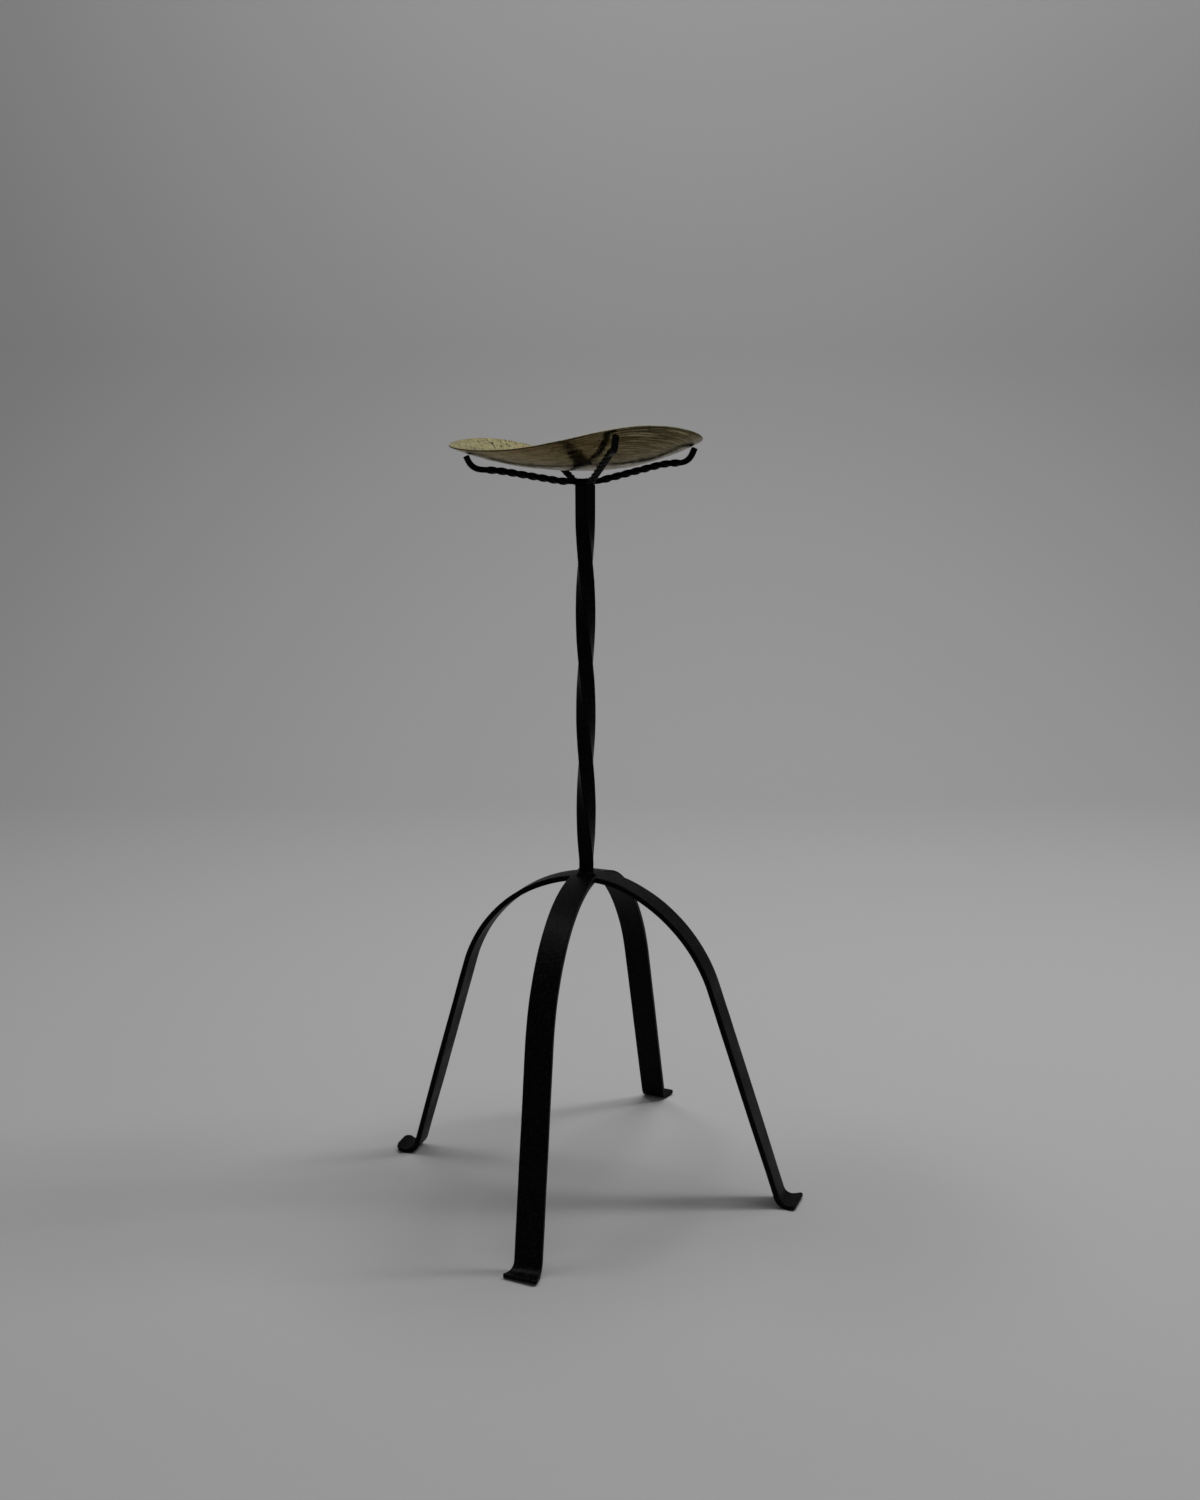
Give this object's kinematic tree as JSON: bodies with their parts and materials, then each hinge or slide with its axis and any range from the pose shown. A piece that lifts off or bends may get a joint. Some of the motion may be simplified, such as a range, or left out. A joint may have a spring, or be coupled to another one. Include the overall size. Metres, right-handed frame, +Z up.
{
  "type": "candle holder",
  "caption": "Forged iron candle stand with a twisted stem, bowed flat-bar legs, twisted arms and a loose saddle-bent brass dish that lifts off.",
  "frame": {"origin": "on the floor under the stem's axis", "axes": "+Z up along the stem, +X along the right leg, -Y towards the front leg"},
  "size_m": [0.3628, 0.3658, 0.6311],
  "materials": {
    "iron": "blackened, satin",
    "brass": "aged, brushed by hand"
  },
  "bodies": {
    "stand": {"stem": "iron", "leg_front": "iron", "leg_right": "iron", "leg_back": "iron", "leg_left": "iron", "arm_front": "iron", "arm_right": "iron", "arm_back": "iron", "arm_left": "iron"},
    "dish": {"dish": "brass"}
  },
  "joints": [
    {"name": "dish_lift_off", "type": "slide", "parent": "stand", "child": "dish", "axis": [0, 0, 1], "range_m": [0, 0.12]}
  ]
}
